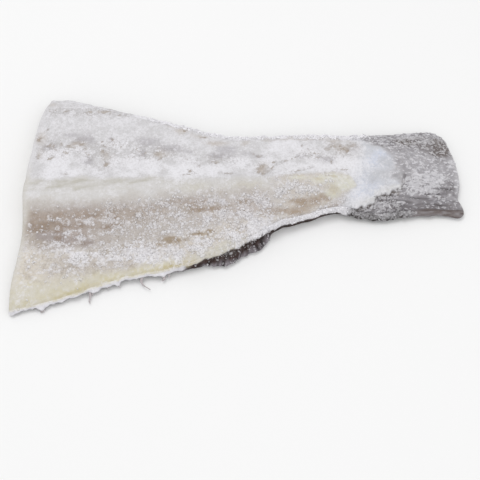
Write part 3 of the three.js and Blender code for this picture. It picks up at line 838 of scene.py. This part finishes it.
def skin_colour(fish):
    """The tail's skin: pale in the middle, darker along both edges, with brown and dark places."""
    x, y, marks = fish.x, fish.y + 0.3 * fish.drift, fish.marks
    streaks = flat_noise(x / 2.4, fish.y, 1.8, 94)
    # The tone is darker along both edges; along the belly edge the darkening is partly painted shade
    # where the skin turns down.
    tone = 1 - 0.31 * step(y, 45, 53) - 0.15 * fall(y, 14, 24) - 0.36 * fall(y, -3, 5)
    tone = tone + 0.4 * fish.mottle + 0.24 * streaks * (1 - 0.5 * band(y, 24, 46, 4))
    broken = unit(0.5 + 1.2 * flat_noise(x / 3, fish.y, 2.2, 95))
    low_edge = fall(fish.from_belly + 0.5 * fish.drift, 0.5, 4) * fall(x, 132, 148)
    end_rim = hump(tail_line(0.5) - 1.5 - x, 2.2) * step(fish.y, 4, 12)
    return layered(
        blend(SKIN_DARK, SKIN_PALE, np.clip(tone, 0, 1.2)),
        (SKIN_BROWN, 0.85 * marks.tail_brown),
        (SKIN_DARK, 0.6 * marks.tail_dark),
        # Painted shade in the tail's creases and along its low edge.
        (TAIL_SHADE, 0.7 * broken * strokes(fish, TAIL_CREASES, 0.8)),
        (TAIL_BROWN_LINE_SHADE, 0.9 * fish.tail_line),
        (TAIL_SHADE, 0.7 * low_edge),
        (RIM_GREY, 0.9 * end_rim),
    )


def wall_colour(fish, colour):
    """The fish's colour with the edges, the wall under the belly edge and the skin side added."""
    points, x, down, side = fish.points, fish.x, fish.down, fish.tail_side
    fibres = unit(0.5 + 0.8 * noise(points * [0.35, 1, 1], 1.3, 62))
    upright = unit(0.5 + 0.8 * noise(points * [1, 0.25, 0.25], 1.4, 63))
    frosted = 1.2 * upright - 0.6 + 0.8 * step(down, 0.25, 0.65)
    frosted = unit(frosted + 0.7 * noise(points * [1, 0.5, 0.5], 0.9, 64))
    belly_rim = fish.near_side * fall(x + 7 * noise(fish.flat, 3, 96), -48, -42)
    belly_rim = belly_rim * step(down, 0.05, 0.2) * fall(down, 0.62, 0.76)
    crusty, foot = fall(x, 138, 152), fall(down, 0.5, 0.6)
    corner = step(x, 170, 178) * step(down, 0.5, 0.6) * fall(down, 0.95, 1)
    return layered(
        colour,
        (layered(SKIN_DARK, (SKIN_BROWN, 0.5 + 0.5 * fractal(points, 14, 3, 61))), fish.under),
        (blend(RIM_WHITE, RIM_SHADE, 0.7 * fibres), belly_rim),
        (SALT_WHITE, fish.white_lip),
        # Under the lip: raw red flesh mixed with near-black painted shade; the lobe's top is in the same
        # painted shade.
        (blend(WALL_SHADE_BROWN, WALL_RED, fibres), fish.dark_wall),
        (blend(WALL_SHADE_BROWN, LOBE_GREY, frosted), fish.lobe),
        # The tail's side darkened with painted shade, darkest at its foot.
        (blend(TAIL_SHADE, TAIL_SIDE, 0.4 + 0.6 * upright), side * crusty),
        (TAIL_SHADE, side * crusty * step(down + 0.3 * upright, 0.14, 0.28)),
        # The brown line on the tail's side: brown skin with painted shade.
        (blend(TAIL_BROWN_LINE_SHADE, SKIN_PALE, 0.6 * fibres), side * (1 - crusty) * foot),
        (SKIN_PALE, side * corner),
        # The back edge is painted brighter than its white salt, as painted light where it turns away
        # from the lamps.
        (blend(FLESH_FAR, BACK_LIT_WHITE, step(x, -110, -70)), fish.back_edge * fall(down, 0.5, 0.8)),
    )


# ---------------- materials

class Nodes:
    """A new material, and ways to add nodes to it that give the new node's output."""

    def __init__(self, name, roughness, specular):
        self.material = bpy.data.materials.new(name)
        self.material.use_nodes = True
        self.tree = self.material.node_tree
        self.shader = self.tree.nodes["Principled BSDF"]
        self.shader.inputs["Roughness"].default_value = roughness
        self.shader.inputs["Specular IOR Level"].default_value = specular

    def fill(self, socket, value):
        """Gives a socket a number, a vector, a colour or another node's output."""
        if isinstance(value, bpy.types.NodeSocket):
            self.tree.links.new(value, socket)
        elif isinstance(value, np.ndarray):
            socket.default_value = (*value.tolist(), 1)
        else:
            socket.default_value = value

    def add(self, kind, output, inputs, **properties):
        node = self.tree.nodes.new("ShaderNode" + kind)
        for name, value in properties.items():
            setattr(node, name, value)
        for socket, value in inputs.items():
            self.fill(node.inputs[socket], value)
        return node.outputs[output]

    def attribute(self, name, output="Fac"):
        return self.add("Attribute", output, {}, attribute_name=name)

    def place(self):
        return self.add("TexCoord", "Object", {})

    def moved(self, how, place):
        return self.add("Mapping", 0, {"Vector": place, **how})

    def texture(self, kind, output, place, scale_mm, inputs, **properties):
        inputs = {"Vector": place, "Scale": 1 / (scale_mm * MM), **inputs}
        return self.add(kind, output, inputs, **properties)

    def grain(self, scale_mm, detail=3.0, roughness=0.6, shift=0.0):
        """Noise that changes over about scale_mm, fixed to the object."""
        place = self.moved({"Location": [shift] * 3}, self.place())
        look = {"Detail": detail, "Roughness": roughness}
        return self.texture("TexNoise", "Fac", place, scale_mm, look)

    def crumbs(self, scale_mm, stretch):
        """Angular cells of about scale_mm, longer along the fish by stretch: a random number for
        each, and how far each point is from a border."""
        place = self.place()
        wave = self.texture("TexNoise", "Color", place, scale_mm, {"Detail": 2.0})
        sway = {0: wave, 1: [0.9 * scale_mm * MM] * 3, 2: place}
        bent = self.add("VectorMath", 0, sway, operation="MULTIPLY_ADD")
        place = self.moved({"Scale": (1 / stretch, 1, 1)}, bent)
        cells = self.texture("TexVoronoi", "Color", place, scale_mm, {}, feature="F1")
        border = self.texture("TexVoronoi", "Distance", place, scale_mm, {}, feature="DISTANCE_TO_EDGE")
        return self.add("SeparateColor", 0, {0: cells}), border

    def remap(self, value, low, high, to_low=0.0, to_high=1.0):
        ends = {"From Min": low, "From Max": high, "To Min": to_low, "To Max": to_high}
        return self.add("MapRange", "Result", {"Value": value, **ends})

    def math(self, operation, a, b):
        return self.add("Math", 0, {0: a, 1: b}, operation=operation)

    def times(self, a, b):
        return self.math("MULTIPLY", a, b)

    def sum(self, *terms):
        """The sum of (output, weight) pairs."""
        total, *others = [self.times(output, weight) for output, weight in terms]
        for other in others:
            total = self.math("ADD", total, other)
        return total

    def mix(self, share, a, b):
        """A colour between a and b."""
        return self.add("Mix", 2, {0: share, 6: a, 7: b}, data_type="RGBA")

    def finish(self, colour, height, depth_mm, strength):
        """Ends the material with its colour, and bumps of a depth at the given strength."""
        bumps = {"Strength": strength, "Distance": depth_mm * MM, "Height": height}
        self.fill(self.shader.inputs["Base Color"], colour)
        self.fill(self.shader.inputs["Normal"], self.add("Bump", "Normal", bumps))
        return self.material


def fish_material():
    """Flesh and skin from the mesh's own colours, with salt dusted over them in fine grains and
    small brown gaps in the salt."""
    n = Nodes("salted_cod_flesh", 0.7, 0.25)
    flesh = n.attribute("flesh", "Color")
    salt = n.attribute("salt")
    gaps = n.attribute("gaps")
    fine = n.grain(1.3, roughness=0.65)
    finer = n.grain(0.6)
    blotch = n.grain(3.2, roughness=0.65)
    ragged = n.grain(2.0, roughness=0.65, shift=0.37)
    specks = n.grain(1.5, detail=2.0, shift=0.71)
    cell, border = n.crumbs(2.6, 1.5)
    flaky = n.remap(gaps, 0.1, 0.3)

    # Salt shows where its cover beats the grain of the noise, and hides more where it is thick.
    grainy = n.remap(n.sum((blotch, 0.4), (fine, 0.45), (finer, 0.15)), 0.22, 0.78)
    cell_part = n.times(n.remap(cell, 0.0, 1.0, -0.2, 0.2), flaky)
    lead = n.math("SUBTRACT", n.math("ADD", salt, cell_part), grainy)
    soft = n.remap(lead, -0.34, 0.34)
    crisp = n.remap(lead, -0.04, 0.06)
    crisper = n.times(n.math("SUBTRACT", crisp, soft), n.remap(gaps, 0.0, 0.3, 0.2, 0.6))
    dusting = n.math("ADD", soft, crisper)
    opacity = n.times(dusting, n.remap(salt, 0.2, 0.8, 0.55, 0.95))
    mottle = n.times(n.remap(fine, 0.35, 0.65, 1.0, 0.0), n.remap(gaps, 0.0, 0.3, 0.08, 0.2))
    specked = n.times(n.remap(specks, 0.46, 0.68, 0.0, 0.32), n.remap(gaps, 0.0, 0.35, 0.3, 1.0))
    cracked = n.times(n.remap(border, 0.0, 0.12, 0.24, 0.0), flaky)
    colour = n.mix(mottle, flesh, GRAIN_SHADE)
    colour = n.mix(opacity, colour, SALT_WHITE)
    colour = n.mix(specked, colour, SPECK_GREY)
    colour = n.mix(cracked, colour, CRACK_GREY)

    # The gaps' density moves the threshold that the ragged noise has to beat.
    torn = n.sum((ragged, 0.6), (cell, 0.4))
    lack = n.math("SUBTRACT", torn, n.remap(gaps, 0.0, 1.0, 0.84, 0.42))
    holes = n.times(n.remap(lack, -0.02, 0.05), n.remap(gaps, 0.0, 0.08))
    colour = n.mix(n.times(holes, 0.75), colour, n.mix(0.65, flesh, GAP_BROWN))
    height = n.sum((fine, 0.5), (finer, 0.25), (dusting, 0.35), (holes, -0.4))
    return n.finish(colour, height, 0.6, 0.7)


def salt_material():
    """Salt grains, each in its own colour, as they let through some of what they lie on."""
    n = Nodes("salt", 0.55, 0.35)
    clouds = n.remap(n.grain(0.9, detail=2.0), 0.35, 0.7, 0.0, 0.22)
    colour = n.mix(clouds, n.attribute("flesh", "Color"), SALT_CLOUD)
    return n.finish(colour, n.grain(0.6), 0.4, 0.6)


def shred_material():
    n = Nodes("shred_flesh", 0.6, 0.4)
    colour = n.mix(n.grain(1.5, detail=2.0), SHRED_DARK, SHRED_PALE)
    return n.finish(colour, n.grain(0.4, detail=2.0), 0.15, 0.6)


# ---------------- meshes

CAP_SPACING = 1.5


def cad_shift(points):
    """The move that puts the middle of these points' box, and its bottom, where the CAD solid's are."""
    low, high = (np.array(corner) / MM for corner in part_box(NODE))
    own_low, own_high = points.min((0, 1)), points.max((0, 1))
    move = (low + high) / 2 - (own_low + own_high) / 2
    move[2] = low[2] - own_low[2]
    return move


def add_object(name, data):
    made = bpy.data.objects.new(name, data)
    bpy.context.scene.collection.objects.link(made)
    return made


def add_piece(name, points, faces, look, smooth=True, attributes=None):
    """A mesh piece from points in millimetres, riding on the fish's body."""
    mesh = bpy.data.meshes.new(name)
    mesh.from_pydata(((points.reshape(-1, 3) + SHIFT) * MM).tolist(), [], faces)
    for label, values in (attributes or {}).items():
        if values.ndim == 2:
            layer = mesh.attributes.new(label, "FLOAT_COLOR", "POINT")
            layer.data.foreach_set("color", np.insert(values, 3, 1, axis=1).ravel())
        else:
            mesh.attributes.new(label, "FLOAT", "POINT").data.foreach_set("value", values)
    mesh.materials.append(look)
    mesh.polygons.foreach_set("use_smooth", [smooth] * len(mesh.polygons))
    mesh.update()
    piece = add_object(name, mesh)
    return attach(piece, BODY)


def grid_faces(stations, around):
    i, j = np.meshgrid(np.arange(stations - 1), np.arange(around), indexing="ij")
    a = i * around + j
    b = i * around + (j + 1) % around
    return np.stack([a, a + around, b + around, b], -1).reshape(-1, 4)


def cap(loop, spacing, outward):
    """Fills a closed loop of points that lies across the fish. Gives the new inner points, and
    triangles that count the loop's points first."""
    outline = loop[:, 1:]
    low, high = outline.min(0), outline.max(0)
    ys, zs = np.meshgrid(np.arange(low[0], high[0], spacing), np.arange(low[1], high[1], spacing * 0.9))
    ys += 0.5 * spacing * (np.arange(len(zs)) % 2)[:, None]
    inner = np.stack([ys.ravel(), zs.ravel()], -1)
    inner = inner[inside(inner, outline, 0.55 * spacing)]
    flat = [Vector(p) for p in np.concatenate([outline, inner])]
    edges = [(k, (k + 1) % len(loop)) for k in range(len(loop))]
    _, _, triangles, origin, _, _ = delaunay_2d_cdt(flat, edges, [], 1, 1e-6)
    turn = 1 if outward else -1
    faces = [[origin[corner][0] for corner in triangle][::turn] for triangle in triangles]
    return np.column_stack([across_top(loop, inner[:, 0], 0), inner]), faces


def across_top(loop, y, axis):
    """A coordinate of the loop's flesh side at each y."""
    return across(loop[: TOP_STEPS + 1], y, axis)


def skin_height(loop, y):
    """Height of the loop's skin side at each y."""
    return across(loop[TOP_STEPS + 1:], y, 2)


def across(points, y, axis):
    order = np.argsort(points[:, 1])
    return np.interp(y, points[order, 1], points[order, axis])


def inside(points, outline, margin):
    """Which points lie inside the outline and at least margin from it."""
    crossing = np.zeros(len(points), int)
    away = np.full(len(points), np.inf)
    for p, q in zip(outline, np.roll(outline, -1, 0)):
        spans = (p[1] > points[:, 1]) != (q[1] > points[:, 1])
        if p[1] != q[1]:
            at = p[0] + (points[:, 1] - p[1]) / (q[1] - p[1]) * (q[0] - p[0])
            crossing += spans & (points[:, 0] < at)
        edge = q - p
        t = unit(((points - p) @ edge) / max(edge @ edge, 1e-12))
        away = np.minimum(away, np.linalg.norm(points - p - t[:, None] * edge, axis=1))
    return (crossing % 2 == 1) & (away > margin)


FLAKE_WIDTH = 6.5
BACKBONE_Y = -6


def cut_flakes(points):
    """How far the flakes of muscle stand out of the cut face, in millimetres, and 1 in the seams
    between them. They lean outward from the backbone and differ in width."""
    y, z = points[:, 1], points[:, 2]
    bend = 5 * noise(points, 16, 88) + 1.5 * noise(points, 5, 89)
    phase = (np.abs(y - BACKBONE_Y) + 0.8 * z + 2.5 * np.sin(z / 6) + bend) / FLAKE_WIDTH
    layer = phase - np.floor(phase)
    stand = RANDOM_TABLE[(np.floor(phase) * 7).astype(int) & (len(RANDOM_TABLE) - 1)]
    seam = np.maximum(hump(layer, 0.1), hump(layer - 1, 0.1))
    return 0.5 * stand + 0.5 * (layer - 0.5) - 0.5 * seam, seam


def cut_end(inner, loop):
    """How far the cut face's inner points are pushed out, their colour and their salt."""
    y = inner[:, 1]
    flakes, seams = cut_flakes(inner)
    below_top = across_top(loop, y, 2) - inner[:, 2]
    above_skin = inner[:, 2] - skin_height(loop, y)
    push = -unit(np.minimum(below_top, above_skin) / 2.5) * (flakes + 0.4 * noise(inner, 3, 81))
    colour = layered(
        CUT_IVORY,
        (FLESH_PALE, 0.5 + 0.7 * noise(inner, 9, 86)),
        (TAN, 0.5 * seams + 0.25 * noise(inner, 4, 83)),
        (FAT, 0.5 * fall(y, -95, -60)),
        (SKIN_DARK, fall(above_skin, 0.8, 1.8) * band(y, -90, 86, 8)),
    )
    return push, colour, 0.2 + 0.2 * noise(inner, 6, 87) + 0.35 * fall(below_top, 0.5, 2.5)


def tail_end(inner, loop):
    """The same for the end of the tail."""
    push = 0.5 + 0.5 * noise(inner, 2.2, 82)
    colour = layered(SKIN_PALE, (SKIN_DARK, 0.3 + 0.4 * noise(inner, 3, 84)))
    return push, colour, 0.45 + 0.3 * noise(inner, 4, 85)


def build_fish(fish):
    """The fish itself: one closed skin of cross-sections with a filled cut and tail end. Keeps
    its surface, colour and salt for the grains to lie on."""
    fish.salt = wall_salt(fish, salt_cover(fish))
    fish.colour = wall_colour(fish, flesh_colour(fish))
    outward = grid_normals(fish.points) * stand_out(fish, fish.salt)[..., None]
    fish.surface = fish.points + outward
    fish.surface[..., 2] = np.maximum(fish.surface[..., 2], 0)
    stations, around = fish.salt.shape
    faces = grid_faces(stations, around).tolist()
    gaps = gap_share(fish)
    parts = [(fish.surface.reshape(-1, 3), fish.colour.reshape(-1, 3), fish.salt.ravel(), gaps.ravel())]
    first = stations * around
    for row, end in ((0, cut_end), (stations - 1, tail_end)):
        loop = fish.surface[row]
        inner, triangles = cap(loop, CAP_SPACING, end is tail_end)
        push, colour, salt = end(inner, loop)
        inner[:, 0] += push
        for triangle in triangles:
            faces.append([k + (row * around if k < around else first - around) for k in triangle])
        parts.append((inner, colour, salt, 0 * salt))
        first += len(inner)
    points, *looks = (np.concatenate(part) for part in zip(*parts))
    attributes = dict(zip(("flesh", "salt", "gaps"), looks))
    piece = add_piece("cod_tail_half", points, faces, fish_material(), attributes=attributes)
    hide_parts(NODE)


# ---------------- salt and shreds

def cube():
    """Corners and faces of a cube of width 1."""
    corners = np.array(list(itertools.product((-0.5, 0.5), repeat=3)))
    faces = [(0, 1, 3, 2), (4, 6, 7, 5), (0, 4, 5, 1), (2, 3, 7, 6), (0, 2, 6, 4), (1, 5, 7, 3)]
    return corners, np.array(faces)


def lump():
    """Corners and faces of an icosahedron of width 1."""
    golden = (1 + math.sqrt(5)) / 2
    corners = []
    for a, b in itertools.product((-1, 1), (-golden, golden)):
        corners += [(0, a, b), (a, b, 0), (b, 0, a)]
    corners = np.array(corners)
    faces = []
    for trio in itertools.combinations(range(12), 3):
        p, q, r = corners[list(trio)]
        if max(np.linalg.norm(p - q), np.linalg.norm(q - r), np.linalg.norm(r - p)) < 2.1:
            faces.append(trio if np.cross(q - p, r - p) @ p > 0 else trio[::-1])
    return corners / 2 / math.hypot(1, golden), np.array(faces)


def random_turns(rng, count):
    """Random rotation matrices."""
    quaternions = [Quaternion(q).normalized() for q in rng.normal(size=(count, 4))]
    return np.array([quaternion.to_matrix() for quaternion in quaternions])


def turns_on(rng, normal, swing):
    """Rotations that lay a grain flat on the surface, turned by about swing radians from the
    fish's length."""
    turn = rng.normal(0, swing, len(normal))
    side = np.cross(normal, [1.0, 0, 0])
    side /= np.linalg.norm(side, axis=1, keepdims=True)
    ahead = np.cross(side, normal)
    along = ahead * np.cos(turn)[:, None] + side * np.sin(turn)[:, None]
    return np.stack([along, np.cross(normal, along), normal], 1)


def spread_out(rng, middles, corners, spread):
    """The grid's cells that lie about spread millimetres from the middles, as rows and columns."""
    cells = corners[0].shape[:2]
    spots = []
    for start, most, next_corner in zip(np.divmod(middles, cells[1]), cells, corners[1::2]):
        length = np.linalg.norm(next_corner - corners[0], axis=-1).ravel()[middles]
        hop = np.round(rng.normal(0, spread, len(middles)) / np.maximum(length, 0.3)).astype(int)
        spots.append(np.clip(start + hop, 0, most - 1))
    return tuple(spots)


def place_in(rng, corners):
    """A random point in each cell, from arrays of the cells' four corners."""
    a, b, c, d = corners
    u, v = rng.random((2, len(a), 1))
    return (a * (1 - u) + b * u) * (1 - v) + (d * (1 - u) + c * u) * v


# For the grains: the power that makes most of them small, the shares by which their corners and
# proportions vary, how much of the ground's salt their colour takes up, and the least height of
# their corners in millimetres.
SMALLNESS = 2.2
CORNER_JITTER = 0.28
SHAPE_JITTER = 0.25
GROUND_SALT = 0.75
LOWEST = 0.02


def scatter(name, fish, density, look, seed, count, sizes, whiteness, shape=cube,
            proportions=(1, 1, 1), swing=None, sink=0.3, clump=1, spread=0.0):
    """Strews salt grains over the grid of the fish as one mesh.

    density: how likely each point is to get a grain. sizes: the least and most in millimetres.
    whiteness: from the ground's own colour at 0 to white at 1, and brighter above that. swing:
    None for grains that lie any way up. sink: the share of a grain's height that is in the
    surface. clump and spread: how many grains lie together, and how far apart in millimetres."""
    rng = np.random.default_rng(seed)
    surface = fish.surface
    corners = [surface[:-1, :-1], surface[1:, :-1], surface[1:, 1:], surface[:-1, 1:]]
    cross = np.cross(corners[2] - corners[0], corners[3] - corners[1])
    area = np.linalg.norm(cross, axis=-1)
    weight = (density[:-1, :-1] * area).ravel()
    middles = np.repeat(rng.choice(len(weight), size=count // clump, p=weight / weight.sum()), clump)
    count = len(middles)
    spots = spread_out(rng, middles, corners, spread)
    place = place_in(rng, [corner[spots] for corner in corners])
    normal = cross[spots] / np.maximum(area[spots][:, None], 1e-9)
    size = lerp(*sizes, rng.random((count, 1, 1)) ** SMALLNESS)
    form, form_faces = shape()
    grains = form * rng.uniform(1 - CORNER_JITTER, 1 + CORNER_JITTER, (count, len(form), 1))
    grains = grains * proportions * rng.uniform(1 - SHAPE_JITTER, 1 + SHAPE_JITTER, (count, 1, 3)) * size
    grains = grains @ (random_turns(rng, count) if swing is None else turns_on(rng, normal, swing))
    lift = normal * (size[:, 0] * proportions[2] * (0.5 - sink))
    points = grains + (place + lift)[:, None]
    points[..., 2] = np.maximum(points[..., 2], LOWEST)
    faces = form_faces + len(form) * np.arange(count)[:, None, None]
    white = lerp(*whiteness, rng.random(count))
    ground = blend(fish.colour[spots], SALT_WHITE, GROUND_SALT * fish.salt[spots])
    colour = blend(ground, SALT_WHITE, np.minimum(white, 1)) * np.maximum(white, 1)[:, None]
    attributes = {"flesh": np.repeat(colour, len(form), 0)}
    add_piece(name, points, faces.reshape(-1, faces.shape[-1]).tolist(), look, shape is lump, attributes)


FLAT_LUMP = {"shape": lump, "proportions": (1.25, 0.9, 0.45), "swing": 1.6}
GRAINS = {
    "salt_fine": dict(seed=101, count=3200, sizes=(0.35, 0.8), whiteness=(0.1, 0.5), sink=0.5),
    "salt_crumbs": dict(seed=102, count=2500, sizes=(0.8, 3.2), whiteness=(0.15, 0.7), sink=0.5,
                        clump=3, spread=2.0, **FLAT_LUMP),
    "salt_crystals": dict(seed=105, count=360, sizes=(0.8, 1.7), whiteness=(0.4, 0.9), sink=0.4),
    "salt_flakes_tail": dict(seed=103, count=2300, sizes=(0.5, 1.8), whiteness=(0.15, 0.6),
                             proportions=(1.8, 0.8, 0.35), swing=0.5),
    # The edge crust's grains are brightened past white, as painted light where the back edge turns away
    # from the lamps.
    "salt_edge_crust": dict(seed=104, count=2800, sizes=(0.8, 2.4), whiteness=(1.02, 1.2), sink=0.35,
                            clump=4, spread=1.2, **FLAT_LUMP),
    "salt_tail_side": dict(seed=106, count=740, sizes=(0.5, 1.7), whiteness=(0.1, 0.5), clump=3,
                           spread=1.5),
}


def grain_densities(fish):
    """How thickly each kind of salt grain lies on each point."""
    x, y, down, flesh, frost = fish.x, fish.y, fish.down, fish.flesh, fish.marks.frost
    top = down < 0.5
    near_white = break_up(fish.soft.near_white, fish.billow, 0.9, 0.3)
    clusters = step(fish.clusters + 0.5 * fish.cloudy, 0.3, 0.8)
    tailward = lerp(0.18, 1, step(x, -130, -50))
    bed = fish.bed * tailward
    near = fish.near * lerp(0.4, 1, tailward)
    not_yellow = 1 - fish.soft.flesh_yellow
    flesh_side = top * (1 - fish.tail) * (1 - 0.95 * fish.clean_cut) * (1 - 0.9 * fish.fat * fish.near)
    flesh_side *= 1 - 0.8 * fish.marks.ochre
    dusty = bed * (0.2 + clusters + frost) + near * (0.2 + 0.8 * clusters)
    dusty += flesh * (0.2 + 0.6 * clusters) * not_yellow
    crumbly = bed * (0.1 + 0.35 * clusters) + 0.9 * tailward * frost * (fish.bed + flesh)
    crumbly += flesh * (0.05 + 0.2 * clusters) * not_yellow
    crumbly += near * (0.1 + 0.3 * clusters + 0.25 * near_white)

    flakes = 0.04 + 0.7 * fish.marks.tail_light + lerp(0.28, 0.04, step(x, 130, 146)) * fall(y, -2, 6)
    flakes = (flakes + 0.22 * step(y, 46, 54)) * (1 - fish.tail_line)
    flakes *= 1 - 0.7 * strokes(fish, TAIL_CREASES, 1.2)
    back_crust = fish.far_side * band(x, -85, 108, 12) * (down < 0.6)
    lip = fish.lip * top + fish.near_side * band(x, 10, 88, 6) * (down < 0.35)
    tail_side = fish.near_side * band(x, 90, 142, 6) * fall(down, 0.06, 0.26)
    return {
        "salt_fine": flesh_side * dusty,
        "salt_crumbs": flesh_side * crumbly,
        "salt_crystals": flesh_side * (0.3 * crumbly + 0.3 * frost),
        "salt_flakes_tail": top * fish.tail * flakes,
        "salt_edge_crust": back_crust + 0.4 * lip,
        "salt_tail_side": 0.022 * fish.lobe + tail_side,
    }


# Frayed threads that hang from the belly edge: (x, length, thickness, curl), in millimetres and
# radians.
THREADS = [
    (-164, 4, 3.2, 0.2), (-126, 9, 1.7, 0.35), (-121.5, 4, 1.6, -0.3), (-103, 3.5, 1.5, 0.3),
    (-83, 12, 1.9, 0.3), (-65, 5.5, 2.8, -0.3), (-62, 3, 1.4, 0.4), (-110, 2.5, 1.4, -0.2),
]


def add_threads():
    """Shreds of flesh at the belly edge, as tapered strips that hang down and curl."""
    sides, steps = 6, 12
    t = np.arange(steps + 1)[:, None] / steps
    angle = 2 * math.pi * np.arange(sides) / sides
    oval = np.stack([np.cos(angle), 0 * angle, 0.6 * np.sin(angle)], -1)
    strip = grid_faces(steps + 1, sides)[:, [0, 3, 2, 1]].tolist()
    strip.append(list(range(sides))[::-1])
    strip.append(list(range(steps * sides, (steps + 1) * sides)))
    points, faces = [], []
    for k, (x, length, thickness, curl) in enumerate(THREADS):
        swing = curl * t + 0.25 * np.sin(4 * t + k)
        reach = (length + 1.5) * t
        height = np.maximum(belly_under(x) + 2.0 - 1.6 * t, 0.6)
        centre = np.hstack([x + reach * np.sin(swing), belly(x) + 1.5 - reach * np.cos(swing), height])
        width = 0.7 * thickness * (1 - 0.6 * t)
        points.append(centre[:, None] + width[..., None] * oval)
        faces += [[k * sides * (steps + 1) + corner for corner in face] for face in strip]
    add_piece("belly_edge_shreds", np.concatenate(points), faces, shred_material())


# ---------------- stage, lights and camera

CAMERA_ELEVATION = math.radians(62)
CAMERA_DISTANCE = 0.850
LOOK_AT = Vector((-0.0019, -0.0330, 0))
FOCAL_PIXELS = 1000
FRAME_PIXELS = 480
SENSOR_WIDTH = 36
FLOOR_REACH = 12
FLOOR_GREY = 0.88
SKY_STRENGTH = 0.78


def add_camera():
    data = bpy.data.cameras.new("camera")
    data.sensor_width = SENSOR_WIDTH
    data.lens = FOCAL_PIXELS / FRAME_PIXELS * SENSOR_WIDTH
    data.clip_start = 0.01
    data.clip_end = 100
    camera = add_object("camera", data)
    away = Vector((0, -math.cos(CAMERA_ELEVATION), math.sin(CAMERA_ELEVATION)))
    camera.location = LOOK_AT + CAMERA_DISTANCE * away
    camera.rotation_euler = (math.pi / 2 - CAMERA_ELEVATION, 0, 0)
    bpy.context.scene.camera = camera


def add_area_light(name, place, size, power):
    data = bpy.data.lights.new(name, "AREA")
    data.shape = "DISK"
    data.size = size
    data.energy = power
    light = add_object(name, data)
    light.location = place
    light.rotation_euler = (-Vector(place)).to_track_quat("-Z", "Y").to_euler()


def add_stage():
    corners = [(-1, -1, 0), (1, -1, 0), (1, 1, 0), (-1, 1, 0)]
    floor_mesh = bpy.data.meshes.new("floor")
    floor_mesh.from_pydata([FLOOR_REACH * Vector(corner) for corner in corners], [], [(0, 1, 2, 3)])
    floor = add_object("floor", floor_mesh)
    pale = Nodes("pale_floor", 0.8, 0.2)
    pale.shader.inputs["Base Color"].default_value = (FLOOR_GREY, FLOOR_GREY, FLOOR_GREY, 1)
    floor_mesh.materials.append(pale.material)

    world = bpy.data.worlds.new("studio")
    bpy.context.scene.world = world
    world.use_nodes = True
    sky = world.node_tree.nodes["Background"]
    sky.inputs["Color"].default_value = (1.0, 1.0, 1.0, 1)
    sky.inputs["Strength"].default_value = SKY_STRENGTH
    add_area_light("key", (-0.35, 0.35, 1.7), 1.0, 8)
    add_area_light("fill", (0.5, -0.8, 1.3), 1.2, 2.5)
    bpy.context.scene.view_settings.view_transform = "Standard"
    bpy.context.scene.view_settings.look = "None"


# ---------------- the scene

add_camera()
add_stage()
fish_grid = grid()
SHIFT = cad_shift(fish_grid.points)
add_noises(fish_grid)
add_zones(fish_grid)
add_walls(fish_grid)
add_marks(fish_grid)
build_fish(fish_grid)
white = salt_material()
for grain_name, grain_density in grain_densities(fish_grid).items():
    scatter(grain_name, fish_grid, grain_density, white, **GRAINS[grain_name])
add_threads()
